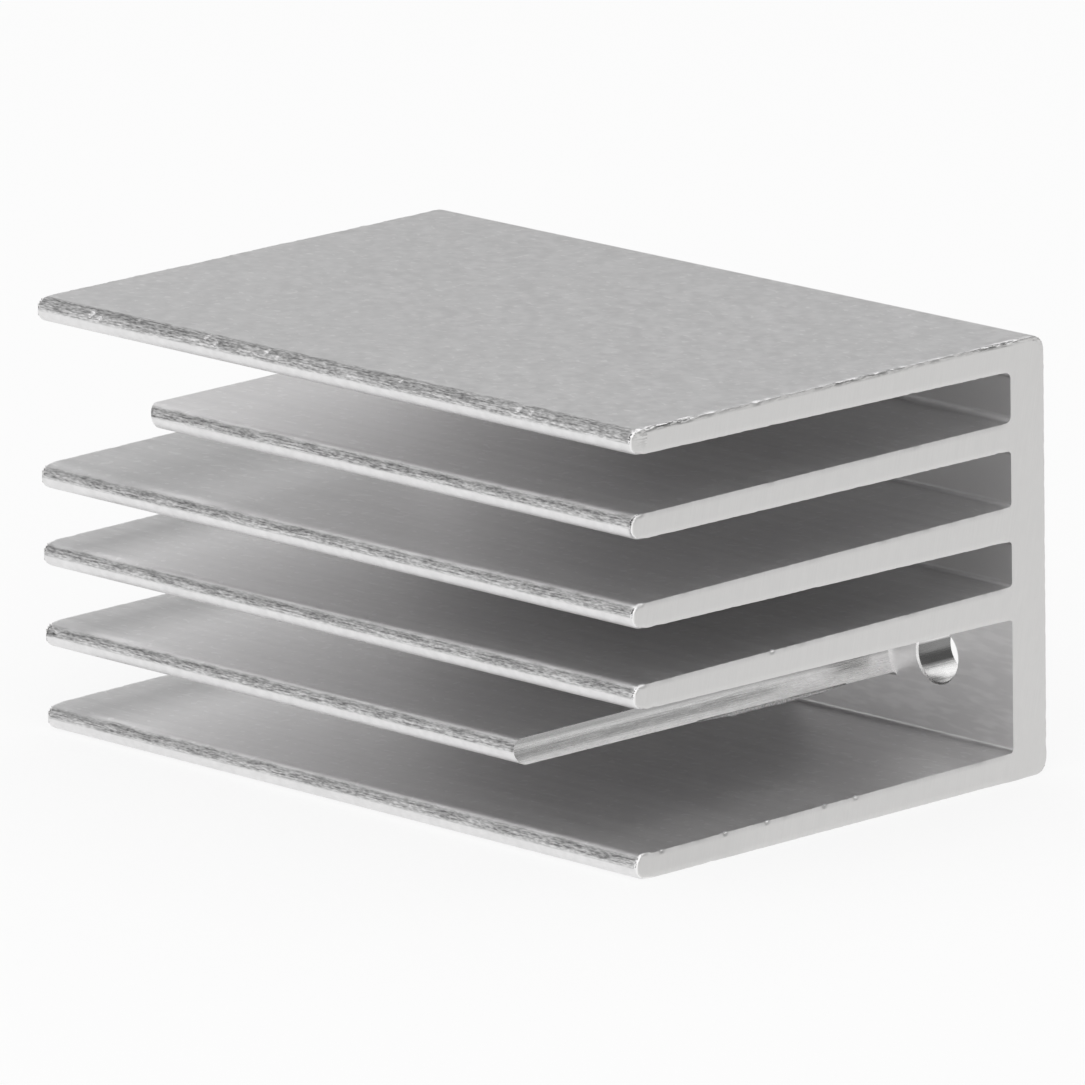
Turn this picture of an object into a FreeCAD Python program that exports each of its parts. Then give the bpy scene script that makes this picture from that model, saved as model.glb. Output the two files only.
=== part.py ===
import FreeCAD, Part
import os
import Sketcher

# Aluminium heat sink for a circuit board: one sawn length of an extruded comb profile.
# Frame, in millimetres: the origin is the middle of the flat mounting face. +X points out of that face,
# Y runs along the extrusion, and +Z is up when the heat sink stands on its bottom fin, so that the six
# level fins point towards -X. Fins are counted upwards from the bottom one.

SIZES = [
    ("profile_length", 69.0, "between the two sawn ends"),
    ("profile_height", 36.0, "over the outer faces of the bottom and top fins"),
    ("profile_depth", 45.6, "from the fin tips to the mounting face"),
    ("base_thickness", 3.8, "of the base plate that carries the fins"),
    ("fin_tip_thickness", 2.05, "across the round nose of a fin"),
    ("fin_root_thickness", 2.35, "of a fin where it meets the base plate"),
    ("third_fin_root_thickness", 2.75, "of the third fin at the base plate"),
    ("stout_fin_root_thickness", 2.85, "of the fourth fin at the base plate"),
    ("top_fin_root_thickness", 2.5, "of the top fin at the base plate"),
    ("fourth_fin_drop", 0.25, "of the fourth fin below its even place"),
    ("fifth_fin_rise", 0.15, "of the fifth fin above its even place"),
    ("channel_root_radius", 0.35, "in the corners of the air channels"),
    ("top_channel_root_radius", 0.55, "in the corners of the uppermost channel"),
    ("outer_corner_radius", 1.3, "on the two outer corners of the base plate"),
    ("screw_hole_diameter", 4.5, "clearance for an M4 screw"),
    ("screw_hole_rim", 0.15, "width of the broken edge round a screw hole"),
    ("screw_hole_from_end", 8.5, "from the sawn end to the hole's middle"),
    ("screw_hole_from_side", 8.9, "from the outer fin's face to the hole's middle"),
    ("cutter_diameter", 8.5, "width of the slot that lets the screw head in"),
    ("cut_length", 13.8, "from the sawn end to the deepest point of the slot"),
]

FIN_PITCHES = 5

# What follows from the driving sizes. Heights are taken from the outer face of the bottom fin.
DERIVED = [
    ("half_length", "profile_length / 2"),
    ("nose_radius", "fin_tip_thickness / 2"),
    ("nose_reach", "profile_depth - nose_radius"),
    ("fin_pitch", "(profile_height - fin_root_thickness) / %d" % FIN_PITCHES),
    ("fin_2_middle", "fin_root_thickness / 2 + fin_pitch"),
    ("fin_3_middle", "fin_root_thickness / 2 + 2 * fin_pitch"),
    ("fin_4_middle", "fin_root_thickness / 2 + 3 * fin_pitch - fourth_fin_drop"),
    ("fin_5_middle", "fin_root_thickness / 2 + 4 * fin_pitch + fifth_fin_rise"),
    ("floor_1", "fin_root_thickness"),
    ("floor_2", "fin_2_middle + fin_root_thickness / 2"),
    ("floor_3", "fin_3_middle + third_fin_root_thickness / 2"),
    ("floor_4", "fin_4_middle + stout_fin_root_thickness / 2"),
    ("floor_5", "fin_5_middle + fin_root_thickness / 2"),
    ("roof_1", "fin_2_middle - fin_root_thickness / 2"),
    ("roof_2", "fin_3_middle - third_fin_root_thickness / 2"),
    ("roof_3", "fin_4_middle - stout_fin_root_thickness / 2"),
    ("roof_4", "fin_5_middle - fin_root_thickness / 2"),
    ("roof_5", "profile_height - top_fin_root_thickness"),
    ("cutter_radius", "cutter_diameter / 2"),
    ("cutter_stop", "half_length - cut_length + cutter_radius"),
    ("cutter_run_out", "half_length + cutter_diameter"),
    ("screw_hole_along", "half_length - screw_hole_from_end"),
    ("screw_hole_below", "profile_height / 2 - screw_hole_from_side"),
    ("screw_hole_rim_diameter", "screw_hole_diameter + 2 * screw_hole_rim"),
]

CHANNELS = range(1, FIN_PITCHES + 1)
TOP_CHANNEL = FIN_PITCHES
TOP_FIN = FIN_PITCHES + 1
INNER_FINS = range(2, TOP_FIN)

# Points of a sketch element, and the sketch's own origin.
START, END, MIDDLE = range(1, 4)
SKETCH_ORIGIN = (-1, 1)

QUARTER_TURN = 1.5707963267948966
NEAR = 0.001


def write_sheet(doc):
    """Keep the driving sizes and what follows from them in one sheet, each under its own name."""
    sheet = doc.addObject("Spreadsheet::Sheet", "Sizes")
    rows = [(name, str(value), meaning) for name, value, meaning in SIZES]
    rows += [(name, "=" + formula, "") for name, formula in DERIVED]
    for number, (name, content, meaning) in enumerate(rows, start=1):
        sheet.set("A%d" % number, name)
        sheet.set("B%d" % number, content)
        sheet.set("C%d" % number, meaning)
        sheet.setAlias("B%d" % number, name)
    doc.recompute()
    return sheet


def read_size(sheet, name):
    return float(getattr(sheet, name))


def origin_feature(body, role):
    """Return the body's own origin plane or axis with this role."""
    return next(feature for feature in body.Origin.OriginFeatures if feature.Role == role)


class Drawing:
    """A sketch on one of the body's origin planes, with dimensions tied to the sheet."""

    def __init__(self, body, sheet, name, plane):
        self.sheet = sheet
        self.sketch = body.newObject("Sketcher::SketchObject", name)
        self.sketch.AttachmentSupport = [(origin_feature(body, plane), "")]
        self.sketch.MapMode = "FlatFace"

    def size(self, name):
        return read_size(self.sheet, name)

    def shift_back(self, name):
        """Move the sketch's plane against its normal by one size."""
        self.sketch.AttachmentOffset = FreeCAD.Placement(
            FreeCAD.Vector(0, 0, -self.size(name)), FreeCAD.Rotation())
        self.sketch.setExpression("AttachmentOffset.Base.z", "-Sizes." + name)

    def line(self, x_start, y_start, x_end, y_end):
        start = FreeCAD.Vector(x_start, y_start, 0)
        end = FreeCAD.Vector(x_end, y_end, 0)
        return self.sketch.addGeometry(Part.LineSegment(start, end), False)

    def half_round(self, x, y, radius, first_angle):
        """Half a circle, drawn anticlockwise from its first angle."""
        circle = Part.Circle(FreeCAD.Vector(x, y, 0), FreeCAD.Vector(0, 0, 1), radius)
        last_angle = first_angle + 2 * QUARTER_TURN
        return self.sketch.addGeometry(Part.ArcOfCircle(circle, first_angle, last_angle), False)

    def circle(self, x, y, radius):
        circle = Part.Circle(FreeCAD.Vector(x, y, 0), FreeCAD.Vector(0, 0, 1), radius)
        return self.sketch.addGeometry(circle, False)

    def tie(self, *arguments):
        return self.sketch.addConstraint(Sketcher.Constraint(*arguments))

    def measure(self, name, cell, *arguments):
        """Add a dimension that follows a cell of the sheet."""
        index = self.tie(*arguments, self.size(cell))
        self.sketch.renameConstraint(index, name)
        self.sketch.setExpression("Constraints." + name, "Sizes." + cell)


def draw_profile(body, sheet):
    """The comb: a base plate on the right, and six tapered fins with round noses to its left."""
    draw = Drawing(body, sheet, "comb_profile", "XZ_Plane")
    size = draw.size
    foot = -size("profile_height") / 2
    head = -foot
    wall = -size("base_thickness")
    nose_x = -size("nose_reach")
    radius = size("nose_radius")

    face = draw.line(0, foot, 0, head)
    draw.tie("Symmetric", face, START, face, END, *SKETCH_ORIGIN)
    draw.tie("Vertical", face)
    draw.measure("height", "profile_height", "DistanceY", face, START, face, END)

    middles = {1: foot + radius, TOP_FIN: head - radius}
    for fin in INNER_FINS:
        middles[fin] = foot + size("fin_%d_middle" % fin)

    noses = {}
    for fin, middle in middles.items():
        nose = draw.half_round(nose_x, middle, radius, QUARTER_TURN)
        draw.measure("nose_%d_radius" % fin, "nose_radius", "Radius", nose)
        draw.measure("nose_%d_reach" % fin, "nose_reach", "DistanceX", nose, MIDDLE, *SKETCH_ORIGIN)
        noses[fin] = nose
    for fin in INNER_FINS:
        cell = "fin_%d_middle" % fin
        draw.measure("nose_%d_height" % fin, cell, "DistanceY", face, START, noses[fin], MIDDLE)

    underside = draw.line(0, foot, nose_x, foot)
    draw.tie("Coincident", underside, START, face, START)
    draw.tie("Horizontal", underside)
    draw.tie("Tangent", underside, END, noses[1], END)
    top = draw.line(nose_x, head, 0, head)
    draw.tie("Coincident", top, END, face, END)
    draw.tie("Horizontal", top)
    draw.tie("Tangent", top, START, noses[TOP_FIN], START)

    for channel in CHANNELS:
        floor_cell = "floor_%d" % channel
        roof_cell = "roof_%d" % channel
        floor = foot + size(floor_cell)
        roof = foot + size(roof_cell)
        lower_flank = draw.line(nose_x, middles[channel] + radius, wall, floor)
        root = draw.line(wall, floor, wall, roof)
        upper_flank = draw.line(wall, roof, nose_x, middles[channel + 1] - radius)
        draw.tie("Tangent", lower_flank, START, noses[channel], START)
        draw.tie("Coincident", lower_flank, END, root, START)
        draw.tie("Coincident", root, END, upper_flank, START)
        draw.tie("Tangent", upper_flank, END, noses[channel + 1], END)
        draw.tie("Vertical", root)
        draw.measure("root_%d_depth" % channel, "base_thickness", "DistanceX", root, START, *SKETCH_ORIGIN)
        draw.measure("root_%d_floor" % channel, floor_cell, "DistanceY", face, START, root, START)
        draw.measure("root_%d_roof" % channel, roof_cell, "DistanceY", face, START, root, END)
    return draw.sketch


def draw_slot(body, sheet):
    """The path of the cutter at the near end: straight in along the fins, with a round end."""
    draw = Drawing(body, sheet, "head_slot_path", "YZ_Plane")
    draw.shift_back("base_thickness")
    size = draw.size
    radius = size("cutter_radius")
    stop = -size("cutter_stop")
    outside = -size("cutter_run_out")
    middle = -size("screw_hole_below")

    end = draw.half_round(stop, middle, radius, -QUARTER_TURN)
    upper = draw.line(stop, middle + radius, outside, middle + radius)
    mouth = draw.line(outside, middle + radius, outside, middle - radius)
    lower = draw.line(outside, middle - radius, stop, middle - radius)
    draw.measure("slot_end_radius", "cutter_radius", "Radius", end)
    draw.measure("slot_stop", "cutter_stop", "DistanceX", end, MIDDLE, *SKETCH_ORIGIN)
    draw.measure("slot_height", "screw_hole_below", "DistanceY", end, MIDDLE, *SKETCH_ORIGIN)
    draw.tie("Tangent", end, END, upper, START)
    draw.tie("Horizontal", upper)
    draw.tie("Coincident", upper, END, mouth, START)
    draw.tie("Vertical", mouth)
    draw.measure("slot_run_out", "cutter_run_out", "DistanceX", mouth, START, *SKETCH_ORIGIN)
    draw.tie("Coincident", mouth, END, lower, START)
    draw.tie("Horizontal", lower)
    draw.tie("Tangent", lower, END, end, START)
    return draw.sketch


def draw_screw_hole(body, sheet):
    """The screw hole's circle on the base plate's inner wall, in line with the slot."""
    draw = Drawing(body, sheet, "screw_hole_place", "YZ_Plane")
    draw.shift_back("base_thickness")
    size = draw.size
    ring = draw.circle(-size("screw_hole_along"), -size("screw_hole_below"), size("screw_hole_diameter") / 2)
    draw.measure("hole_diameter", "screw_hole_diameter", "Diameter", ring)
    draw.measure("hole_along", "screw_hole_along", "DistanceX", ring, MIDDLE, *SKETCH_ORIGIN)
    draw.measure("hole_below", "screw_hole_below", "DistanceY", ring, MIDDLE, *SKETCH_ORIGIN)
    return draw.sketch


def long_edges_at(shape, places):
    """Name the edges that run the whole length of the extrusion at these places (x, z)."""
    names = []
    for number, edge in enumerate(shape.Edges, start=1):
        middle = edge.BoundBox.Center
        if edge.BoundBox.YLength < shape.BoundBox.YLength - NEAR:
            continue
        if any(abs(middle.x - x) < NEAR and abs(middle.z - z) < NEAR for x, z in places):
            names.append("Edge%d" % number)
    return names


def round_edges(body, name, base, places, radius_cell):
    """Round the long edges at these places, and insist that every one of them was found."""
    names = long_edges_at(base.Shape, places)
    if len(names) != len(places):
        raise RuntimeError("%s found %d edges of %d" % (name, len(names), len(places)))
    fillet = body.newObject("PartDesign::Fillet", name)
    fillet.Base = (base, names)
    fillet.setExpression("Radius", "Sizes." + radius_cell)
    body.Document.recompute()
    return fillet


def build_heat_sink(doc, sheet):
    """Extrude the comb, round its corners, then mill and drill it at both ends."""
    body = doc.addObject("PartDesign::Body", "heat_sink")
    body.Label = "heat_sink"
    foot = -read_size(sheet, "profile_height") / 2
    wall = -read_size(sheet, "base_thickness")

    extrusion = body.newObject("PartDesign::Pad", "extrusion")
    extrusion.Profile = draw_profile(body, sheet)
    extrusion.SideType = "Symmetric"
    extrusion.setExpression("Length", "Sizes.profile_length")
    doc.recompute()

    corners = {}
    for channel in CHANNELS:
        floor = foot + read_size(sheet, "floor_%d" % channel)
        roof = foot + read_size(sheet, "roof_%d" % channel)
        corners[channel] = [(wall, floor), (wall, roof)]
    top_corners = corners.pop(TOP_CHANNEL)
    lower_corners = sum(corners.values(), [])
    channel_roots = round_edges(body, "channel_roots", extrusion, lower_corners, "channel_root_radius")
    top_roots = round_edges(body, "top_channel_roots", channel_roots, top_corners, "top_channel_root_radius")
    outer_corners = round_edges(
        body, "outer_corners", top_roots, [(0, foot), (0, -foot)], "outer_corner_radius")

    slot = body.newObject("PartDesign::Pocket", "head_slot")
    slot.Profile = draw_slot(body, sheet)
    slot.Type = "ThroughAll"
    slot.Reversed = False
    doc.recompute()
    insist_on_less(slot, outer_corners)

    hole = body.newObject("PartDesign::Hole", "screw_hole")
    hole.Profile = draw_screw_hole(body, sheet)
    doc.recompute()
    hole.ThreadType = "None"
    hole.DepthType = "ThroughAll"
    hole.Reversed = True
    hole.setExpression("Diameter", "Sizes.screw_hole_diameter")
    hole.HoleCutType = "Countersink"
    hole.HoleCutCountersinkAngle = 90
    hole.setExpression("HoleCutDiameter", "Sizes.screw_hole_rim_diameter")
    doc.recompute()
    insist_on_less(hole, slot)

    both_ends = body.newObject("PartDesign::PolarPattern", "both_ends")
    both_ends.Originals = [slot, hole]
    both_ends.Axis = (origin_feature(body, "X_Axis"), [""])
    both_ends.Angle = 360
    both_ends.Occurrences = 2
    body.Tip = both_ends
    doc.recompute()
    insist_on_less(both_ends, hole)
    return body


def insist_on_less(feature, base):
    """A cut that removes nothing points the wrong way."""
    if feature.Shape.Volume > base.Shape.Volume - NEAR:
        raise RuntimeError(feature.Name + " removes nothing")


def insist_on_sound(doc, body):
    """Stop if any object failed or the finished solid isn't one sound solid."""
    for item in doc.Objects:
        if "Invalid" in item.State or "Error" in item.State:
            raise RuntimeError("%s failed: %s" % (item.Name, item.State))
    if body.Shape.isNull() or not body.Shape.isValid() or len(body.Shape.Solids) != 1:
        raise RuntimeError(body.Name + " is not one sound solid")


def main():
    doc = FreeCAD.newDocument("heat_sink_model")
    sheet = write_sheet(doc)
    body = build_heat_sink(doc, sheet)
    insist_on_sound(doc, body)
    os.makedirs("parts", exist_ok=True)
    body.Shape.exportStep("parts/%s.step" % body.Label)
    box = body.Shape.BoundBox
    print("%s: volume %.1f, x %.2f to %.2f, y %.2f to %.2f, z %.2f to %.2f" % (
        body.Label, body.Shape.Volume, box.XMin, box.XMax, box.YMin, box.YMax, box.ZMin, box.ZMax))


main()
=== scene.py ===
import math

import bmesh
import bpy
from mathutils import Matrix, Vector, noise


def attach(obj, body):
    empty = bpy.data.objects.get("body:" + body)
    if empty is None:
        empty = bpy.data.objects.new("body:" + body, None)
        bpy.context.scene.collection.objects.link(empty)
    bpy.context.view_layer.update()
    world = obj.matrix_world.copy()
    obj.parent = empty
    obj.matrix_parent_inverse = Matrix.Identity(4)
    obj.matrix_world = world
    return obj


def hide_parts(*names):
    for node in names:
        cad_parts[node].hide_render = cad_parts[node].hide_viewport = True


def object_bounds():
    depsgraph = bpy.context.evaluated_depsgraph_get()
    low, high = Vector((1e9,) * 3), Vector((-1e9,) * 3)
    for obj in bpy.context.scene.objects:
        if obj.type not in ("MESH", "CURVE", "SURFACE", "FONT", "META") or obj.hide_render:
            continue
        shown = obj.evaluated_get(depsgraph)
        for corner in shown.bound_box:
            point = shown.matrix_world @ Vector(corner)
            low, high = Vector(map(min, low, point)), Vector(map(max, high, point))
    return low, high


# Looks of the aluminium heat sink, in metres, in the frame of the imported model: the origin is the middle
# of the mounting face, +X points away from the fins, Y runs along the extrusion and +Z is up.

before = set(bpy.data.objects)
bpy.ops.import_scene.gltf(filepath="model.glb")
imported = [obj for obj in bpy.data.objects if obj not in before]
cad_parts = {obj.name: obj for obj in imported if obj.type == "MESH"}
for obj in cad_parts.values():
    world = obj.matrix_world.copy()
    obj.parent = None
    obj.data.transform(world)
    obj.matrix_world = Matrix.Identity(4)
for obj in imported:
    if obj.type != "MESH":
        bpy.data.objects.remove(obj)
cad_low, cad_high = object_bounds()

MM = 0.001

# Sizes of the solid that the dressing has to know.
FIN_TIPS = cad_low.x
SAWN_END = cad_high.y
FLOOR_HEIGHT = cad_low.z
NOSE_RADIUS = 1.025 * MM
NOSE_CENTRE = FIN_TIPS + NOSE_RADIUS
NOSE_HEIGHTS = [z * MM for z in (-16.975, -10.095, -3.365, 3.115, 10.245, 16.975)]
TOP_FIN = len(NOSE_HEIGHTS) - 1
BOTTOM_FIN = 0
CUT_FIN = 1
BASE_WALL = -3.8 * MM
SLOT_MIDDLE = (24.95 * MM, 9.1 * MM)
SLOT_RADIUS = 4.25 * MM
BORE_MIDDLE = (26.0 * MM, 9.1 * MM)
BORE_RADIUS = 2.25 * MM

# How finely the solid is cut up where it is worn.
NOSE_ZONE = 1.9 * MM
NOSE_STEP = 0.3 * MM
TOP_NOSE_STEP = 0.15 * MM
EDGE_ROWS = (0.2 * MM, 0.4 * MM)
EDGE_STEP = 0.2 * MM
FLAT_SIDE = 100 * MM ** 2

# Knocks on the top fin's nose: place along Y and angle round the nose in degrees, length and depth.
KNOCKS = [
    (27.9 * MM, 48.0, 1.05 * MM, 0.17 * MM),
    (26.9 * MM, 66.0, 0.85 * MM, 0.15 * MM),
    (22.6 * MM, 30.0, 0.55 * MM, 0.08 * MM),
    (14.4 * MM, 34.0, 0.80 * MM, 0.13 * MM),
    (13.2 * MM, 60.0, 0.85 * MM, 0.14 * MM),
    (7.2 * MM, 40.0, 0.75 * MM, 0.12 * MM),
    (5.8 * MM, 58.0, 0.60 * MM, 0.11 * MM),
    (-8.2 * MM, 36.0, 0.55 * MM, 0.08 * MM),
    (-21.8 * MM, 44.0, 0.80 * MM, 0.13 * MM),
    (-23.2 * MM, 56.0, 0.60 * MM, 0.10 * MM),
]
# Width of a knock over its length, and how far it leans along Y.
KNOCK_WIDTH = 0.6
KNOCK_SLANT = 0.5
# Nicks in the upper edge of the near sawn end: the fin and the place along X.
NICKS = [
    (0, -42.8 * MM), (0, -35.9 * MM), (0, -31.3 * MM), (0, -25.0 * MM), (0, -21.5 * MM), (2, -30.5 * MM),
]
NICK_WIDTH = 0.45 * MM
NICK_DEPTH = 0.24 * MM
# The deepest that a sawn edge is worn.
EDGE_LIMIT = 0.25 * MM

# The burr on the bottom fin's corner, and the one left hanging under the near cut.
BURR_WIDTH = 0.9 * MM
BURR_HEIGHT = 0.18 * MM
BURR_ENDS = (-26.0 * MM, -9.4 * MM)
BURR_STEP = 0.25 * MM
BURR_DROP = 0.30 * MM
BURR_THICKNESS = 0.09 * MM

# The camera: a long lens, from the fins' side and a little above.
CAMERA_AZIMUTH = math.radians(-43.42)
CAMERA_ELEVATION = math.radians(13.85)
CAMERA_ROLL = math.radians(-0.94)
CAMERA_DISTANCE = 1.12706
CAMERA_AIM = Vector((-0.02273, -0.00030, -0.00068))
CAMERA_LENS = 465.94

# The soft boxes: azimuth and elevation in degrees, distance, width, height and radiance.
LAMPS = {
    "overhead": (0.0, 90.0, 1.4, 2.4, 2.4, 0.78),
    "left": (265.0, 26.0, 1.5, 2.8, 1.5, 0.76),
    "camera_side": (200.0, 22.0, 1.7, 1.3, 1.4, 0.80),
    "behind": (356.0, 12.0, 1.7, 3.0, 0.72, 0.79),
    "right": (80.0, 38.0, 1.6, 1.4, 0.9, 0.65),
}
WORLD_STRENGTH = 0.31
# How many times light is followed back and forth between the fins.
GLOSSY_BOUNCES = 8

# The floor's half width, and how much of its look is plain white instead of the light and shadow on it.
FLOOR_REACH = 4.0
FLOOR_WHITENESS = 0.8

# Over this range of Y times Z the channels' wall loses its painted shade and takes the look that it has
# beside a cut-back fin.
CUT_CORNERS = (130 * MM ** 2, 180 * MM ** 2)
# Heights over which the look of the channels' wall ends, and over which that of the top face starts.
WALL_ENDS = (16.2 * MM, 16.6 * MM)
TOP_STARTS = (17.5 * MM, 17.9 * MM)
# Heights over which a stripe painted dark as a reflection starts and ends in the bores, and ends on the cut
# faces.
BORE_REFLECTION_STARTS = (8.5 * MM, 8.7 * MM)
BORE_REFLECTION_ENDS = (10.25 * MM, 10.5 * MM)
CUT_REFLECTION_ENDS = (9.45 * MM, 9.8 * MM)

# Points closer than this are one: on the solid, on the rows along its sawn edges, and on faces cut later.
SOLID_WELD = 0.01 * MM
ROW_WELD = 0.03 * MM
WELD = 0.0001 * MM
EXTRUDED, SAWN, MILLED = 0, 1, 2


# Shape

def weld_and_clear(bm):
    """Join the solid's faces along their edges, and make each flat side one face again."""
    bmesh.ops.remove_doubles(bm, verts=bm.verts, dist=SOLID_WELD)
    bm.normal_update()
    bmesh.ops.dissolve_limit(
        bm, angle_limit=math.radians(0.2), verts=bm.verts, edges=bm.edges, use_dissolve_boundaries=False)
    bm.normal_update()


def slice_faces(bm, faces, axis, places):
    """Cut these faces along planes across an axis, and return all the pieces."""
    normal = Vector((0.0, 0.0, 0.0))
    normal[axis] = 1.0
    done = []
    todo = [(max(v.co[axis] for v in f.verts), f) for f in faces]
    for place in sorted(places):
        done += [f for top, f in todo if top <= place + WELD]
        todo = [(top, f) for top, f in todo if top > place + WELD]
        crossed = [f for top, f in todo if min(v.co[axis] for v in f.verts) < place - WELD]
        if not crossed:
            continue
        geometry = set(crossed)
        for face in crossed:
            geometry.update(face.verts)
            geometry.update(face.edges)
        whole = set(crossed)
        todo = [(top, f) for top, f in todo if f not in whole]
        cut = bmesh.ops.bisect_plane(
            bm, geom=list(geometry), dist=WELD, plane_co=normal * place, plane_no=normal)
        pieces = [item for item in cut["geom"] if isinstance(item, bmesh.types.BMFace)]
        todo += [(max(v.co[axis] for v in f.verts), f) for f in pieces]
    return done + [f for top, f in todo]


def steps(low, high, pitch):
    count = max(1, round((high - low) / pitch))
    return [low + (high - low) * k / count for k in range(1, count)]


def is_end(face):
    return abs(face.normal.y) > 0.99 and abs(abs(face.calc_center_median().y) - SAWN_END) < 0.01 * MM


def line_noses(bm):
    """Cut the round noses and the strips beside them into small faces, the top fin's finest."""
    zone = FIN_TIPS + NOSE_ZONE
    inside = SAWN_END - EDGE_ROWS[-1]
    places = [side * (SAWN_END - row) for side in (-1, 1) for row in EDGE_ROWS]
    slice_faces(bm, [f for f in bm.faces if not is_end(f)], 1, places)
    slice_faces(bm, list(bm.faces), 0, [zone, NOSE_CENTRE + 0.3 * MM])
    noses = [f for f in bm.faces if max(v.co.x for v in f.verts) < zone + WELD and abs(f.normal.y) < 0.5
             and abs(f.calc_center_median().y) < inside]
    top = [f for f in noses if nearest_fin(f.calc_center_median().z) == TOP_FIN]
    rest = [f for f in noses if nearest_fin(f.calc_center_median().z) != TOP_FIN]
    slice_faces(bm, top, 1, steps(-inside, inside, TOP_NOSE_STEP))
    slice_faces(bm, rest, 1, steps(-inside, inside, NOSE_STEP))


def line_sawn_edges(bm):
    """Put narrow rows of small faces along both sides of every sawn edge."""
    ring = bm.faces.layers.int.new("ring")
    for width in (EDGE_ROWS[0], EDGE_ROWS[1] - EDGE_ROWS[0]):
        within = [f for f in bm.faces if is_end(f) and not f[ring]]
        inset = bmesh.ops.inset_region(bm, faces=within, thickness=width, use_even_offset=False)
        for face in inset["faces"]:
            face[ring] = 1
        points = {v for f in bm.faces if is_end(f) and not f[ring] for v in f.verts}
        bmesh.ops.remove_doubles(bm, verts=list(points), dist=ROW_WELD)
    inner = SAWN_END - EDGE_ROWS[-1] - WELD
    rows = [f for f in bm.faces if f[ring] or (abs(f.calc_center_median().y) > inner and not is_end(f))]
    rows = slice_faces(bm, rows, 0, steps(FIN_TIPS, 0.0, EDGE_STEP))
    upright = [f for f in rows if f.calc_center_median().x > BASE_WALL - EDGE_STEP]
    slice_faces(bm, upright, 2, steps(cad_low.z, cad_high.z, EDGE_STEP))


def nearest_fin(z):
    return min(range(len(NOSE_HEIGHTS)), key=lambda fin: abs(NOSE_HEIGHTS[fin] - z))


def nose_angle(point):
    """The angle round a nose, in degrees from its top through the tip to its bottom."""
    above = point.z - NOSE_HEIGHTS[nearest_fin(point.z)]
    return math.degrees(math.atan2(NOSE_CENTRE - point.x, above))


def smooth(low, high, value):
    t = min(1.0, max(0.0, (value - low) / (high - low)))
    return t * t * (3.0 - 2.0 * t)


def ripple(point, spacing):
    """Soft noise from -1 to 1. spacing is its size along X, Y and Z."""
    return noise.noise(Vector((point.x / spacing[0], point.y / spacing[1], point.z / spacing[2])))


def dent(point, spacing, reach):
    """0 to 1: how deep the nearest of some scattered dents is here. spacing is along X, Y and Z."""
    place = Vector((point.x / spacing[0], point.y / spacing[1], point.z / spacing[2]))
    distances, spots = noise.voronoi(place)
    return max(0.0, 1.0 - distances[0] / reach) * noise.cell(spots[0] * 7.3) ** 2


def rim_share(point):
    """1 on the rim above a nose, where it has been knocked about and is painted darker as shade, and 0 away
    from it.
    """
    if point.x > NOSE_CENTRE + 0.1 * MM:
        return 0.0
    angle = nose_angle(point)
    wander = 9.0 * ripple(point, (3 * MM, 1.6 * MM, 3 * MM))
    first, full = (0.0, 14.0) if nearest_fin(point.z) == TOP_FIN else (26.0, 50.0)
    return smooth(first, full, angle + wander) * smooth(93.0, 82.0, angle)


def rubbed_share(point):
    """1 on the lower half of a nose, which is rubbed matt, and 0 away from it."""
    return smooth(74.0, 92.0, nose_angle(point)) * smooth(FIN_TIPS + 1.8 * MM, NOSE_CENTRE, point.x)


def knock(point):
    """How far inside one of the top fin's knocks this is, from 0 to 1, and how deep the knock is here."""
    if nearest_fin(point.z) != TOP_FIN:
        return 0.0, 0.0
    angle = nose_angle(point)
    uneven = 1.0 + 0.6 * ripple(point, (0.22 * MM, 0.22 * MM, 0.22 * MM))
    inside, deepest = 0.0, 0.0
    for along, turn, length, depth in KNOCKS:
        around = math.radians(angle - turn) * NOSE_RADIUS
        across = point.y - along - KNOCK_SLANT * around
        away = math.hypot(across / KNOCK_WIDTH, around) / (0.5 * length)
        share = smooth(1.0, 0.25, away * uneven)
        inside = max(inside, share)
        deepest = max(deepest, share * depth)
    return inside, deepest


def rim_ridge_highlight(point, rim):
    """0 to 1 on a thin line that runs here and there above the top fin's rim, painted bright as the
    highlight of a ridge.
    """
    if nearest_fin(point.z) != TOP_FIN:
        return 0.0
    here = smooth(-0.1, 0.3, ripple(point, (9 * MM, 3 * MM, 9 * MM)))
    return smooth(0.0, 0.2, rim) * smooth(0.7, 0.3, rim) * here


def rim_wear(point):
    """Depth by which the rim above a nose is scuffed."""
    heavy = 1.0 if nearest_fin(point.z) == TOP_FIN else 0.6
    coarse = ripple(point, (0.4 * MM, 1.2 * MM, 0.35 * MM))
    fine = ripple(point, (0.2 * MM, 0.5 * MM, 0.16 * MM))
    chips = dent(point, (1.5 * MM, 2.4 * MM, 1.2 * MM), 0.45)
    return heavy * MM * max(0.0, 0.03 + 0.025 * coarse + 0.025 * fine + 0.14 * chips)


def at_top(point):
    return smooth(17.0 * MM, 17.7 * MM, point.z)


def nick(point):
    """1 in the middle of a nick in a near sawn edge, and 0 away from it."""
    fin = nearest_fin(point.z)
    if point.y > 0.0 or point.z < NOSE_HEIGHTS[fin] + 0.5 * MM:
        return 0.0
    return max(smooth(0.6 * NICK_WIDTH, 0.0, abs(point.x - place)) if where == fin else 0.0
               for where, place in NICKS)


def patchy(point):
    """How ragged this stretch of the sawn edges is, from 0.3 to 1."""
    return 0.3 + 0.7 * smooth(-0.25, 0.35, ripple(point, (4.5 * MM, 60 * MM, 60 * MM)))


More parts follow.
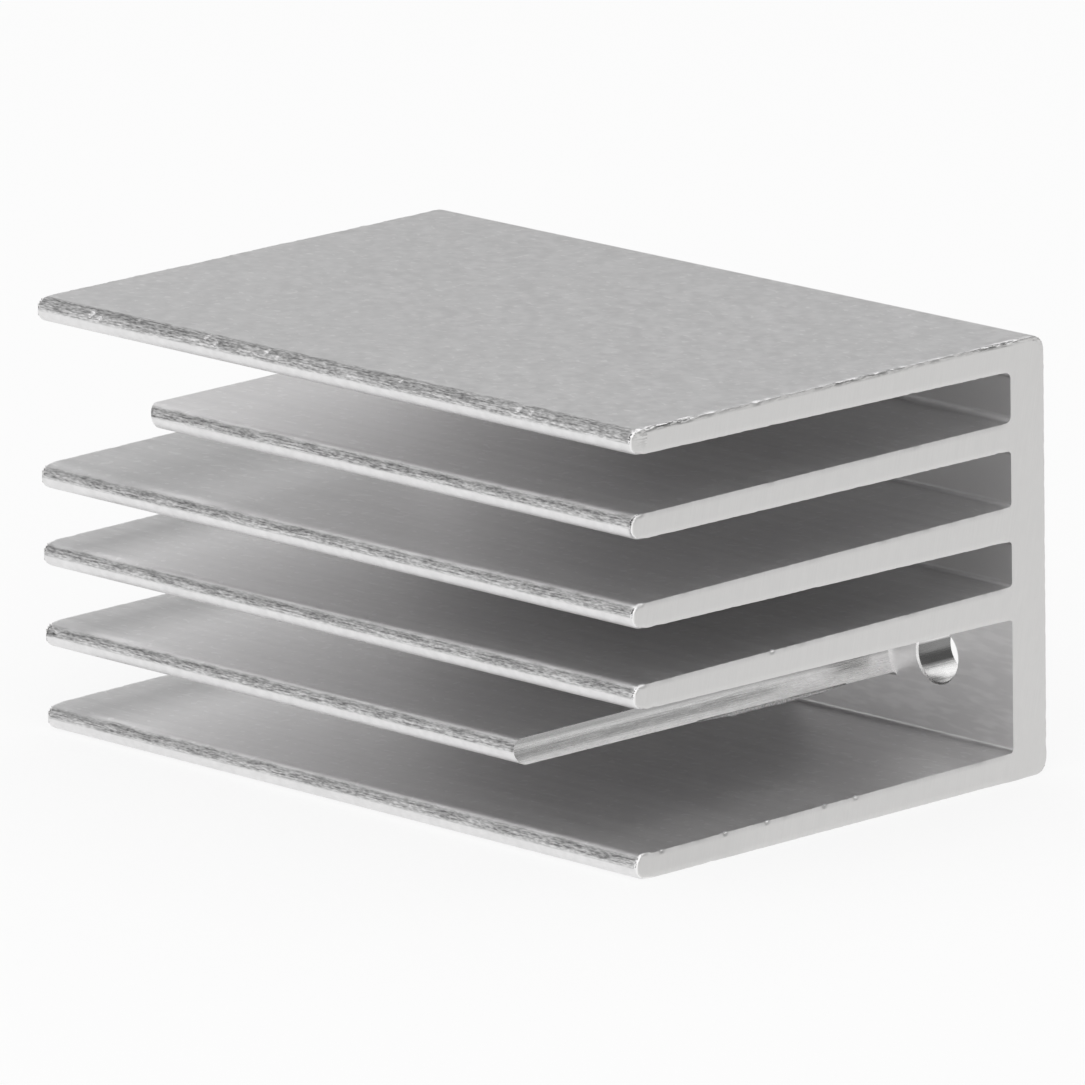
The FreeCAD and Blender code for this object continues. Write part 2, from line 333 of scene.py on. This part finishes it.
def edge_wear(point):
    """Depth by which a sawn edge is ragged here."""
    top = at_top(point) * patchy(point)
    nose = smooth(NOSE_CENTRE + 0.5 * MM, NOSE_CENTRE - 0.1 * MM, point.x)
    ragged = 0.5 + 0.5 * ripple(point, (0.5 * MM, 9 * MM, 0.6 * MM))
    chips = dent(point, (1.1 * MM, 5.0 * MM, 1.1 * MM), 0.6)
    plain = 0.02 + 0.12 * nose + ragged * (0.05 + 0.11 * top) + chips * (0.07 + 0.3 * top)
    sheltered = smooth(1.2 * MM, 0.5 * MM, abs(point.x - BASE_WALL))
    depth = MM * plain * (1.0 - 0.85 * sheltered * (1.0 - top)) + NICK_DEPTH * nick(point)
    return min(EDGE_LIMIT, depth)


def edge_highlight(point):
    """0 to 1: how bright a near sawn edge is painted, as the highlight on its rubbed bevel, at each nose,
    nick and outer fin's tip.
    """
    nose = 0.6 * smooth(NOSE_CENTRE + 0.3 * MM, NOSE_CENTRE - 0.2 * MM, point.x)
    lip = at_top(point) * smooth(FIN_TIPS + 3.2 * MM, FIN_TIPS + 2.3 * MM, point.x)
    corner = smooth(FIN_TIPS + 2.2 * MM, FIN_TIPS + 1.2 * MM, point.x)
    corner *= nearest_fin(point.z) == BOTTOM_FIN
    return max(nose, lip, corner, 0.5 * nick(point)) * (point.y < 0.0)


def corner_burr(point):
    """Height of the burr that stands on the upper front corner of the bottom fin."""
    if nearest_fin(point.z) != BOTTOM_FIN or point.z < NOSE_HEIGHTS[BOTTOM_FIN] + 0.4 * MM:
        return 0.0
    along = smooth(BURR_WIDTH, 0.2 * MM, abs(point.x - FIN_TIPS - 0.9 * MM))
    return BURR_HEIGHT * along * smooth(0.5 * MM, 0.1 * MM, point.y + SAWN_END)


def edge_share(vert):
    """1 on a sawn edge, less on the rows beside it, and 0 on the rest."""
    from_end = SAWN_END - abs(vert.co.y)
    if from_end > EDGE_ROWS[-1] - WELD:
        return 0.0
    if from_end > WELD:
        return 0.4 * (1.0 - from_end / EDGE_ROWS[-1])
    if any(not is_end(f) for f in vert.link_faces):
        return 1.0
    return 0.0 if any(f.calc_area() > FLAT_SIDE for f in vert.link_faces) else 0.15


def inside_box(point):
    """The nearest point within the solid's own box."""
    return Vector(min(max(value, low), high) for value, low, high in zip(point, cad_low, cad_high))


def wear_down(bm):
    """Move the worn points inwards along their normals, and note how worn and rubbed each is, and how far it
    has chips and painted highlights.
    """
    bm.normal_update()
    worn = bm.verts.layers.float.new("worn")
    chips_and_highlights = bm.verts.layers.float.new("chips_and_highlights")
    rubbed = bm.verts.layers.float.new("rubbed")
    moves = []
    for vert in bm.verts:
        point = vert.co
        on_end = SAWN_END - abs(point.y) < WELD
        rim = 0.0 if on_end else rim_share(point)
        edge = edge_share(vert)
        inside, pit = knock(point) if rim > 0.0 else (0.0, 0.0)
        depth = rim_wear(point) * rim + pit + edge_wear(point) * edge
        burr = corner_burr(point)
        # The worn share marks scuffed rims, which are painted darker as shade, and worn sawn edges, which
        # are flecked dark and bright as painted shadow and glints.
        vert[worn] = max(rim, min(1.0, 3.0 * edge) * max(at_top(point) * patchy(point), 0.8 * nick(point)))
        # This share paints knocks, the rim's ridge, rubbed edges and the corner burr bright, as highlights.
        vert[chips_and_highlights] = max(
            0.65 * inside ** 2, 0.6 * rim_ridge_highlight(point, rim), edge_highlight(point) * smooth(0.15, 1.0, edge),
            0.8 * burr / BURR_HEIGHT * (edge > 0.5 or not on_end))
        vert[rubbed] = 0.0 if on_end else rubbed_share(point)
        if depth > 0.0 or burr > 0.0:
            moves.append((vert, Vector((0.0, 0.0, burr)) - vert.normal * depth))
    for vert, move in moves:
        vert.co = inside_box(vert.co + move)


def add_burr(bm):
    """A thin ragged lip along the lower edge of the near cut, curled towards the sawn end."""
    first, last = BURR_ENDS
    stations = [first] + steps(first, last, BURR_STEP) + [last]
    tip = NOSE_HEIGHTS[CUT_FIN] - NOSE_RADIUS
    root = tip - 0.15 * MM
    rings = []
    for x in stations:
        under = tip + (root - tip) * (x - NOSE_CENTRE) / (BASE_WALL - NOSE_CENTRE)
        rise = under + SLOT_MIDDLE[1]
        edge = math.sqrt(SLOT_RADIUS ** 2 - rise ** 2) - SLOT_MIDDLE[0]
        ends = smooth(0.0, 5.0 * MM, x - first) * smooth(0.0, 4.0 * MM, last - x)
        ragged = 0.75 + 0.5 * noise.noise(Vector((x / (0.9 * MM), 0.0, 0.0)))
        drop = BURR_DROP * ends * ragged + 0.02 * MM
        rings.append([bm.verts.new(place) for place in (
            (x, edge + 0.02 * MM, under + 0.06 * MM),
            (x, edge - 0.03 * MM, under - 0.45 * drop),
            (x, edge - 0.10 * MM, under - drop),
            (x, edge + BURR_THICKNESS, under - 0.6 * drop),
            (x, edge + BURR_THICKNESS, under + 0.06 * MM))])
    # The burr takes the rims' scuffed colour, which is painted darker as shade.
    worn = bm.verts.layers.float["worn"]
    for vert in [vert for ring in rings for vert in ring]:
        vert[worn] = 0.8
    faces = [bm.faces.new(rings[0]), bm.faces.new(list(reversed(rings[-1])))]
    for ring, following in zip(rings, rings[1:]):
        for k in range(len(ring)):
            after = (k + 1) % len(ring)
            faces.append(bm.faces.new((ring[k], following[k], following[after], ring[after])))
    bmesh.ops.recalc_face_normals(bm, faces=faces)
    for face in faces:
        face.material_index = EXTRUDED
        face.smooth = True


def zone_of(face):
    """Which finish a face has."""
    middle = face.calc_center_median()
    if is_end(face):
        return SAWN
    if BASE_WALL + 0.01 * MM < middle.x < -0.01 * MM:
        along = abs(middle.y) - BORE_MIDDLE[0]
        across = middle.z * math.copysign(1.0, middle.y) - BORE_MIDDLE[1]
        if math.hypot(along, across) < BORE_RADIUS + 0.3 * MM:
            return MILLED
    inside = middle.x < BASE_WALL - 0.01 * MM and abs(middle.y) < SAWN_END - 1 * MM
    if inside and abs(face.normal.y) > 0.5:
        return MILLED
    return EXTRUDED


def make_heat_sink(materials):
    """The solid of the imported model, cut up finely where it is worn, and worn there."""
    bm = bmesh.new()
    bm.from_mesh(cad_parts["heat_sink"].data)
    weld_and_clear(bm)
    line_noses(bm)
    line_sawn_edges(bm)
    bm.normal_update()
    for edge in bm.edges:
        edge.smooth = edge.calc_face_angle() < math.radians(30.0)
    for face in bm.faces:
        face.material_index = zone_of(face)
        face.smooth = face.calc_area() < FLAT_SIDE
    wear_down(bm)
    bmesh.ops.triangulate(bm, faces=[f for f in bm.faces if len(f.verts) > 4])
    bmesh.ops.dissolve_degenerate(bm, dist=WELD, edges=bm.edges)
    add_burr(bm)
    mesh = bpy.data.meshes.new("heat_sink_dressed")
    bm.to_mesh(mesh)
    bm.free()
    for material in materials:
        mesh.materials.append(material)
    piece = bpy.data.objects.new("heat_sink_dressed", mesh)
    bpy.context.scene.collection.objects.link(piece)
    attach(piece, "root")
    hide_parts("heat_sink")


# Finish

class Finish:
    """A metal whose nodes are written as expressions."""

    def __init__(self, name):
        self.material = bpy.data.materials.new(name)
        self.material.use_nodes = True
        self.tree = self.material.node_tree
        self.shader = self.tree.nodes["Principled BSDF"]
        self.shader.inputs["Metallic"].default_value = 1.0
        self.coordinates = self.add("ShaderNodeTexCoord").outputs["Object"]
        place = self.add("ShaderNodeSeparateXYZ")
        self.feed(place.inputs[0], self.coordinates)
        self.x, self.y, self.z = place.outputs

    def add(self, kind, **settings):
        node = self.tree.nodes.new(kind)
        for name, value in settings.items():
            setattr(node, name, value)
        return node

    def feed(self, socket, value):
        if isinstance(value, bpy.types.NodeSocket):
            self.tree.links.new(value, socket)
        else:
            socket.default_value = value

    def layer(self, name):
        """A value that the mesh holds at each of its points."""
        return self.add("ShaderNodeAttribute", attribute_name=name).outputs["Fac"]

    def noise(self, spacing, detail=2.0, turn=0.0):
        """Noise from 0 to 1 with features of this size along X, Y and Z, turned about Y."""
        mapping = self.add("ShaderNodeMapping")
        mapping.vector_type = "TEXTURE"
        self.feed(mapping.inputs["Vector"], self.coordinates)
        mapping.inputs["Scale"].default_value = spacing
        mapping.inputs["Rotation"].default_value = (0.0, turn, 0.0)
        texture = self.add("ShaderNodeTexNoise")
        self.feed(texture.inputs["Vector"], mapping.outputs["Vector"])
        texture.inputs["Scale"].default_value = 1.0
        texture.inputs["Detail"].default_value = detail
        return texture.outputs["Fac"]

    def spread(self, value, low, high, to_low, to_high, smoothly=False):
        """Map a range of a value to another range."""
        node = self.add("ShaderNodeMapRange")
        if smoothly:
            node.interpolation_type = "SMOOTHSTEP"
        for socket, number in zip(node.inputs, (value, low, high, to_low, to_high)):
            self.feed(socket, number)
        return node.outputs["Result"]

    def maths(self, operation, first, second):
        node = self.add("ShaderNodeMath", operation=operation)
        self.feed(node.inputs[0], first)
        self.feed(node.inputs[1], second)
        return node.outputs["Value"]

    def blend(self, first, second, share):
        """The first value where the share is 0, and the second where it is 1."""
        change = self.maths("SUBTRACT", second, first)
        return self.maths("ADD", first, self.maths("MULTIPLY", change, share))

    def grey(self, value, tint):
        """A colour from a value, with a slight tint."""
        node = self.add("ShaderNodeCombineColor")
        for socket, share in zip(node.inputs, tint):
            self.feed(socket, self.maths("MULTIPLY", value, share))
        return node.outputs["Color"]

    def bump(self, height, distance, under=None):
        node = self.add("ShaderNodeBump")
        node.inputs["Distance"].default_value = distance
        self.feed(node.inputs["Height"], height)
        if under is not None:
            self.feed(node.inputs["Normal"], under)
        return node.outputs["Normal"]


def extruded_finish():
    """Satin, with fine die lines along Y, scuffed above the noses and painted darker there as shade, rubbed
    matt below them, painted darker as shade deep in the channels, and painted bright as highlights on chips
    and rubbed edges.
    """
    finish = Finish("extruded_aluminium")
    lines = finish.noise((0.13 * MM, 30 * MM, 0.13 * MM), detail=0.0)
    bands = finish.noise((1.1 * MM, 25 * MM, 1.1 * MM), detail=1.0)
    mottle = finish.noise((0.8 * MM, 0.9 * MM, 0.8 * MM), detail=1.0)
    marks = finish.noise((0.5 * MM, 0.8 * MM, 0.5 * MM), detail=0.0)
    smears = finish.noise((1.5 * MM, 2.4 * MM, 0.5 * MM), detail=1.0)
    scuffs = finish.noise((0.12 * MM, 0.55 * MM, 0.12 * MM), detail=1.0)
    streaks = finish.noise((0.15 * MM, 3.6 * MM, 0.15 * MM), detail=1.0)
    flecks = finish.noise((0.65 * MM, 0.14 * MM, 0.14 * MM), detail=1.0)
    worn, chips_and_highlights, rubbed = finish.layer("worn"), finish.layer("chips_and_highlights"), finish.layer("rubbed")

    # The top face is smooth, the walls between the fins are painted darker away from the cuts, as shade deep
    # in the channels, and smeared beside them, and the fillets along the channels' corners keep a light
    # line.
    top = finish.spread(finish.z, TOP_STARTS[0], TOP_STARTS[1], 0.0, 1.0)
    below = finish.spread(top, 0.0, 1.0, 1.0, 0.0)
    from_cut = finish.spread(
        finish.maths("MULTIPLY", finish.y, finish.z), CUT_CORNERS[0], CUT_CORNERS[1], 1.0, 0.0)
    within = finish.spread(finish.maths("ABSOLUTE", finish.z, 0.0), WALL_ENDS[0], WALL_ENDS[1], 1.0, 0.0)
    on_wall = finish.maths(
        "MULTIPLY", finish.spread(finish.x, BASE_WALL - 0.12 * MM, BASE_WALL - 0.02 * MM, 0.0, 1.0),
        finish.spread(finish.x, -1.0 * MM, -0.5 * MM, 1.0, 0.0))
    on_wall = finish.maths("MULTIPLY", on_wall, within)
    wall = finish.maths("MULTIPLY", on_wall, from_cut)
    smeared = finish.maths("SUBTRACT", on_wall, wall)
    fillet = finish.maths(
        "MULTIPLY", finish.spread(finish.x, BASE_WALL - 0.36 * MM, BASE_WALL - 0.28 * MM, 0.0, 1.0),
        finish.spread(finish.x, BASE_WALL - 0.12 * MM, BASE_WALL - 0.02 * MM, 1.0, 0.0))
    fillet = finish.maths("MULTIPLY", fillet, finish.maths("MULTIPLY", within, from_cut))
    at_end = finish.spread(
        finish.maths("ABSOLUTE", finish.y, 0.0), SAWN_END - 0.4 * MM, SAWN_END - 0.25 * MM, 0.0, 1.0)

    plain = finish.maths(
        "ADD", finish.spread(lines, 0.3, 0.7, 0.89, 0.915), finish.spread(mottle, 0.3, 0.7, -0.015, 0.015))
    plain = finish.maths("ADD", plain, finish.spread(bands, 0.3, 0.7, -0.025, 0.025))
    plain = finish.blend(plain, finish.spread(mottle, 0.3, 0.7, 0.84, 0.90), top)
    plain = finish.maths("ADD", plain, finish.spread(marks, 0.68, 0.76, 0.0, 0.08, smoothly=True))
    # The channels' wall is painted darker as shade, except beside the cut-back fins and along the fillets.
    plain = finish.blend(plain, 0.55, wall)
    plain = finish.blend(plain, finish.spread(smears, 0.45, 0.65, 0.79, 0.87), smeared)
    plain = finish.blend(plain, 0.90, fillet)
    # Above the noses the colour is scuffed and painted darker as shade, a little darker still on the fins
    # under the top one; at the sawn ends it is flecked dark and bright as painted shadow and glints.
    worn_shade_and_glints = finish.maths(
        "ADD", finish.spread(scuffs, 0.36, 0.64, 0.16, 0.48), finish.spread(streaks, 0.38, 0.62, 0.08, 0.34))
    worn_shade_and_glints = finish.maths("MULTIPLY", worn_shade_and_glints, finish.spread(finish.z, 15.5 * MM, 16.0 * MM, 0.88, 1.0))
    worn_shade_and_glints = finish.blend(worn_shade_and_glints, finish.spread(flecks, 0.46, 0.55, 0.06, 0.92), at_end)
    colour = finish.blend(plain, finish.spread(mottle, 0.3, 0.7, 0.79, 0.85), rubbed)
    colour = finish.blend(colour, worn_shade_and_glints, worn)
    # Knocks, ridges and rubbed edges are painted bright, as highlights.
    colour = finish.blend(colour, 0.96, chips_and_highlights)
    finish.feed(finish.shader.inputs["Base Color"], finish.grey(colour, (1.0, 0.994, 0.996)))

    satin = finish.blend(finish.spread(bands, 0.3, 0.7, 0.36, 0.40), 0.40, top)
    satin = finish.maths("ADD", satin, finish.spread(mottle, 0.3, 0.7, -0.02, 0.02))
    satin = finish.blend(satin, 0.50, finish.maths("MAXIMUM", rubbed, wall))
    satin = finish.blend(satin, finish.spread(smears, 0.45, 0.65, 0.38, 0.44), smeared)
    satin = finish.blend(satin, 0.60, fillet)
    finish.feed(finish.shader.inputs["Roughness"], finish.blend(satin, 0.34, chips_and_highlights))

    normal = finish.bump(finish.maths("MULTIPLY", lines, below), 0.003 * MM)
    rough = finish.maths("MULTIPLY", scuffs, worn)
    finish.feed(finish.shader.inputs["Normal"], finish.bump(rough, 0.025 * MM, normal))
    return finish.material


def sawn_finish():
    """Matt, with faint saw lines, flecked dark and bright as painted shadow and glints where its top edge is
    worn, and painted bright as a highlight where it has chips or rubbed edges.
    """
    finish = Finish("sawn_aluminium")
    lines = finish.noise((0.12 * MM, 5 * MM, 5 * MM), detail=1.0, turn=math.radians(12.0))
    mottle = finish.noise((1.2 * MM, 2 * MM, 1.6 * MM), detail=2.0)
    flecks = finish.noise((0.8 * MM, 0.15 * MM, 0.15 * MM), detail=2.0)
    worn, chips_and_highlights = finish.layer("worn"), finish.layer("chips_and_highlights")
    plain = finish.maths(
        "ADD", finish.spread(lines, 0.3, 0.7, 0.73, 0.75), finish.spread(mottle, 0.3, 0.7, -0.02, 0.02))
    # Worn edges are flecked dark and bright as painted shadow and glints, and edges with chips are painted
    # bright as highlights.
    worn_shade_and_glints = finish.spread(flecks, 0.46, 0.55, 0.08, 0.96)
    colour = finish.blend(finish.blend(plain, worn_shade_and_glints, worn), 0.97, chips_and_highlights)
    finish.feed(finish.shader.inputs["Base Color"], finish.grey(colour, (1.0, 0.992, 0.982)))
    finish.feed(finish.shader.inputs["Roughness"], finish.spread(mottle, 0.3, 0.7, 0.46, 0.54))
    finish.feed(finish.shader.inputs["Normal"], finish.bump(lines, 0.002 * MM))
    return finish.material


def milled_finish():
    """Bright, with cutter lines along X, a stripe painted dark in each bore and along one edge of each cut
    as a dark reflection, and a highlight painted along the corner of each cut.
    """
    finish = Finish("milled_aluminium")
    lines = finish.noise((3 * MM, 0.13 * MM, 0.13 * MM), detail=2.0)
    mottle = finish.noise((0.9 * MM, 0.35 * MM, 0.35 * MM), detail=2.0)
    height = finish.maths("ABSOLUTE", finish.z, 0.0)
    in_bore = finish.spread(finish.x, BASE_WALL - 0.02 * MM, BASE_WALL + 0.02 * MM, 0.0, 1.0)
    past_rim = finish.spread(finish.x, BASE_WALL + 0.15 * MM, BASE_WALL + 0.18 * MM, 0.0, 1.0)
    # A stripe is painted dark in each bore and along one edge of each cut, as a dark reflection.
    bore_dark_reflection = finish.maths(
        "MULTIPLY", finish.spread(height, BORE_REFLECTION_STARTS[0], BORE_REFLECTION_STARTS[1], 0.0, 1.0),
        finish.spread(height, BORE_REFLECTION_ENDS[0], BORE_REFLECTION_ENDS[1], 1.0, 0.0))
    cut_dark_reflection = finish.spread(height, CUT_REFLECTION_ENDS[0], CUT_REFLECTION_ENDS[1], 1.0, 0.0)
    dark_reflection = finish.blend(cut_dark_reflection, finish.maths("MULTIPLY", bore_dark_reflection, past_rim), in_bore)
    # A thin highlight is painted along the corner of each cut.
    corner = finish.maths(
        "MULTIPLY", finish.spread(finish.x, BASE_WALL - 0.35 * MM, BASE_WALL - 0.2 * MM, 0.0, 1.0),
        finish.spread(in_bore, 0.0, 1.0, 1.0, 0.0))
    plain = finish.maths(
        "ADD", finish.spread(mottle, 0.3, 0.7, 0.76, 0.87), finish.spread(lines, 0.3, 0.7, -0.05, 0.05))
    colour = finish.blend(plain, finish.blend(0.42, 0.24, in_bore), dark_reflection)
    colour = finish.blend(colour, 0.97, corner)
    finish.feed(finish.shader.inputs["Base Color"], finish.grey(colour, (1.0, 0.995, 0.99)))
    finish.feed(finish.shader.inputs["Roughness"], finish.spread(lines, 0.3, 0.7, 0.20, 0.32))
    finish.feed(finish.shader.inputs["Normal"], finish.bump(lines, 0.006 * MM))
    return finish.material


# Studio

def toward(azimuth, elevation):
    """The direction to a place round the object. Azimuth 0 is +Y and 90 is +X, in degrees."""
    a, e = math.radians(azimuth), math.radians(elevation)
    return Vector((math.sin(a) * math.cos(e), math.cos(a) * math.cos(e), math.sin(e)))


def make_camera():
    """Set the camera on its sight line, level but for its small roll."""
    data = bpy.data.cameras.new("camera")
    data.sensor_width = 36.0
    data.lens = CAMERA_LENS
    data.clip_start = 0.05
    data.clip_end = 50.0
    camera = bpy.data.objects.new("camera", data)
    bpy.context.scene.collection.objects.link(camera)
    away = Vector((
        math.sin(CAMERA_AZIMUTH) * math.cos(CAMERA_ELEVATION),
        -math.cos(CAMERA_AZIMUTH) * math.cos(CAMERA_ELEVATION),
        math.sin(CAMERA_ELEVATION)))
    place = Matrix.Translation(CAMERA_AIM + away * CAMERA_DISTANCE)
    level = (-away).to_track_quat("-Z", "Y").to_matrix().to_4x4()
    camera.matrix_world = place @ level @ Matrix.Rotation(CAMERA_ROLL, 4, "Z")
    bpy.context.scene.camera = camera


def soft_box(name, azimuth, elevation, distance, width, height, radiance):
    """A rectangular lamp that faces the object. Its radiance is the brightness of its own face."""
    data = bpy.data.lights.new(name, "AREA")
    data.shape = "RECTANGLE"
    data.size = width
    data.size_y = height
    data.energy = radiance * math.pi * width * height
    light = bpy.data.objects.new(name, data)
    place = toward(azimuth, elevation) * distance
    light.location = place
    light.rotation_mode = "QUATERNION"
    light.rotation_quaternion = (-place).to_track_quat("-Z", "Y")
    bpy.context.scene.collection.objects.link(light)


def make_lights():
    for name, numbers in LAMPS.items():
        soft_box(name, *numbers)


def make_world():
    world = bpy.data.worlds.new("studio")
    bpy.context.scene.world = world
    world.use_nodes = True
    background = world.node_tree.nodes["Background"]
    background.inputs["Color"].default_value = (1.0, 1.0, 1.0, 1.0)
    background.inputs["Strength"].default_value = WORLD_STRENGTH


def floor_material():
    """Pale paper, which the camera and the metal see nearly white, with the shadow still on it."""
    material = bpy.data.materials.new("floor_white")
    material.use_nodes = True
    tree = material.node_tree
    shader = tree.nodes["Principled BSDF"]
    shader.inputs["Base Color"].default_value = (0.95, 0.95, 0.95, 1.0)
    shader.inputs["Roughness"].default_value = 0.9
    white = tree.nodes.new("ShaderNodeEmission")
    white.inputs["Strength"].default_value = 1.0
    path = tree.nodes.new("ShaderNodeLightPath")
    seen = path.outputs["Is Camera Ray"]
    for kind in ("Is Glossy Ray", "Is Transmission Ray"):
        either = tree.nodes.new("ShaderNodeMath")
        either.operation = "MAXIMUM"
        tree.links.new(seen, either.inputs[0])
        tree.links.new(path.outputs[kind], either.inputs[1])
        seen = either.outputs["Value"]
    share = tree.nodes.new("ShaderNodeMath")
    share.operation = "MULTIPLY"
    share.inputs[1].default_value = FLOOR_WHITENESS
    tree.links.new(seen, share.inputs[0])
    mix = tree.nodes.new("ShaderNodeMixShader")
    tree.links.new(share.outputs["Value"], mix.inputs[0])
    tree.links.new(shader.outputs["BSDF"], mix.inputs[1])
    tree.links.new(white.outputs["Emission"], mix.inputs[2])
    tree.links.new(mix.outputs["Shader"], tree.nodes["Material Output"].inputs["Surface"])
    return material


def make_floor():
    mesh = bpy.data.meshes.new("floor")
    corners = [(side_x * FLOOR_REACH, side_y * FLOOR_REACH, FLOOR_HEIGHT)
               for side_x, side_y in ((-1, -1), (1, -1), (1, 1), (-1, 1))]
    mesh.from_pydata(corners, [], [(0, 1, 2, 3)])
    floor = bpy.data.objects.new("floor", mesh)
    bpy.context.scene.collection.objects.link(floor)
    mesh.materials.append(floor_material())


def main():
    bpy.context.scene.view_settings.view_transform = "Standard"
    bpy.context.scene.cycles.glossy_bounces = GLOSSY_BOUNCES
    make_camera()
    make_lights()
    make_world()
    make_floor()
    make_heat_sink([extruded_finish(), sawn_finish(), milled_finish()])


main()
